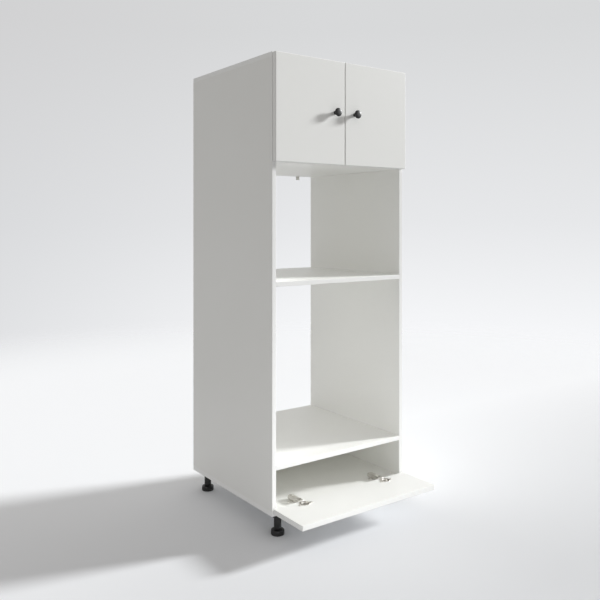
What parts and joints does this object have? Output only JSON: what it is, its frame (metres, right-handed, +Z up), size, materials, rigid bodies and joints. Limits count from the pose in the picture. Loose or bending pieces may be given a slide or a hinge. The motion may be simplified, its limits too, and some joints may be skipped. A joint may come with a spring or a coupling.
{
  "type": "oven and microwave tower cabinet",
  "caption": "Tall white kitchen housing with a door cupboard over open microwave and oven niches, a drop-down flap below and levelling legs.",
  "frame": {"origin": "on the floor, in the middle of the bounding box as stored, with the flap open", "axes": "+Z up, the front faces -Y, +X to the right seen from the front"},
  "size_m": [0.6, 0.7382, 1.636],
  "materials": {
    "white_board": "satin white melamine on particle board with matching edge bands",
    "hardboard": "thin hardboard, lacquered white inside",
    "nickel_steel": "nickel-plated pressed steel",
    "zinc_steel": "bright zinc-plated steel",
    "zinc_cast": "die-cast zinc",
    "knob_black": "black powder coat, satin",
    "black_plastic": "black, fine grain",
    "beech": "plain beech",
    "clip_plastic": "milky white"
  },
  "bodies": {
    "carcass": {"bottom_panel": "white_board", "cupboard_floor": "white_board", "flap_hinge_arms": "nickel_steel", "flap_hinge_plates": "nickel_steel", "front_left_leg": "black_plastic", "front_right_leg": "black_plastic", "hinge_adjusters": "nickel_steel", "hinge_arm_pins": "nickel_steel", "hinge_plate_screws": "nickel_steel", "joining_screws": "zinc_steel", "left_door_hinge_arms": "nickel_steel", "left_door_hinge_plates": "nickel_steel", "left_rear_clip": "clip_plastic", "left_side_lower": "white_board", "left_side_upper": "white_board", "leg_screws": "zinc_steel", "lower_back_panel": "hardboard", "microwave_shelf": "white_board", "oven_shelf": "white_board", "rear_left_leg": "black_plastic", "rear_right_leg": "black_plastic", "right_door_hinge_arms": "nickel_steel", "right_door_hinge_plates": "nickel_steel", "right_rear_clip": "clip_plastic", "right_side_lower": "white_board", "right_side_upper": "white_board", "shelf_cam_bolts": "zinc_steel", "shelf_cams": "zinc_cast", "side_joint_dowels": "beech", "top_panel": "white_board", "upper_back_panel": "hardboard"},
    "left_door": {"left_door": "white_board", "left_knob": "knob_black", "left_knob_screw": "zinc_steel", "left_door_hinge_cups": "nickel_steel", "left_door_cup_pins": "nickel_steel", "left_door_cup_screws": "nickel_steel"},
    "right_door": {"right_door": "white_board", "right_knob": "knob_black", "right_knob_screw": "zinc_steel", "right_door_hinge_cups": "nickel_steel", "right_door_cup_pins": "nickel_steel", "right_door_cup_screws": "nickel_steel"},
    "flap": {"flap": "white_board", "flap_hinge_cups": "nickel_steel", "flap_cup_pins": "nickel_steel", "flap_cup_screws": "nickel_steel"},
    "left_door_links": {"left_door_hinge_links": "nickel_steel"},
    "right_door_links": {"right_door_hinge_links": "nickel_steel"},
    "flap_links": {"flap_hinge_links": "nickel_steel"},
    "front_left_foot": {"front_left_leg_foot": "black_plastic"},
    "front_right_foot": {"front_right_leg_foot": "black_plastic"},
    "rear_left_foot": {"rear_left_leg_foot": "black_plastic"},
    "rear_right_foot": {"rear_right_leg_foot": "black_plastic"}
  },
  "joints": [
    {"name": "left_link_swing", "type": "hinge", "parent": "carcass", "child": "left_door_links", "pos_m": [-0.271, -0.19594, 1.4505], "axis": [0, 0, -1], "range_deg": [-52.8, 0]},
    {"name": "left_door_turn", "type": "hinge", "parent": "left_door_links", "child": "left_door", "pos_m": [-0.288, -0.20464, 1.4505], "axis": [0, 0, -1], "range_deg": [0, 147.78]},
    {"name": "right_link_swing", "type": "hinge", "parent": "carcass", "child": "right_door_links", "pos_m": [0.271, -0.19594, 1.4505], "axis": [0, 0, 1], "range_deg": [-52.8, 0]},
    {"name": "right_door_turn", "type": "hinge", "parent": "right_door_links", "child": "right_door", "pos_m": [0.288, -0.20464, 1.4505], "axis": [0, 0, 1], "range_deg": [0, 147.78]},
    {"name": "flap_link_swing", "type": "hinge", "parent": "carcass", "child": "flap_links", "pos_m": [0, -0.19594, 0.109], "axis": [1, 0, 0], "range_deg": [0, 50]},
    {"name": "flap_turn", "type": "hinge", "parent": "flap_links", "child": "flap", "pos_m": [0, -0.21456, 0.10474], "axis": [1, 0, 0], "range_deg": [-140, 0]},
    {"name": "front_left_foot_height", "type": "slide", "parent": "carcass", "child": "front_left_foot", "axis": [0, 0, 1], "range_m": [-0.02, 0]},
    {"name": "front_right_foot_height", "type": "slide", "parent": "carcass", "child": "front_right_foot", "axis": [0, 0, 1], "range_m": [-0.02, 0]},
    {"name": "rear_left_foot_height", "type": "slide", "parent": "carcass", "child": "rear_left_foot", "axis": [0, 0, 1], "range_m": [-0.02, 0]},
    {"name": "rear_right_foot_height", "type": "slide", "parent": "carcass", "child": "rear_right_foot", "axis": [0, 0, 1], "range_m": [-0.02, 0]}
  ],
  "couplings": [
    {"joint": "left_link_swing", "follows": "left_door_turn", "ratio": -0.35714},
    {"joint": "right_link_swing", "follows": "right_door_turn", "ratio": -0.35714},
    {"joint": "flap_link_swing", "follows": "flap_turn", "ratio": -0.35714}
  ]
}
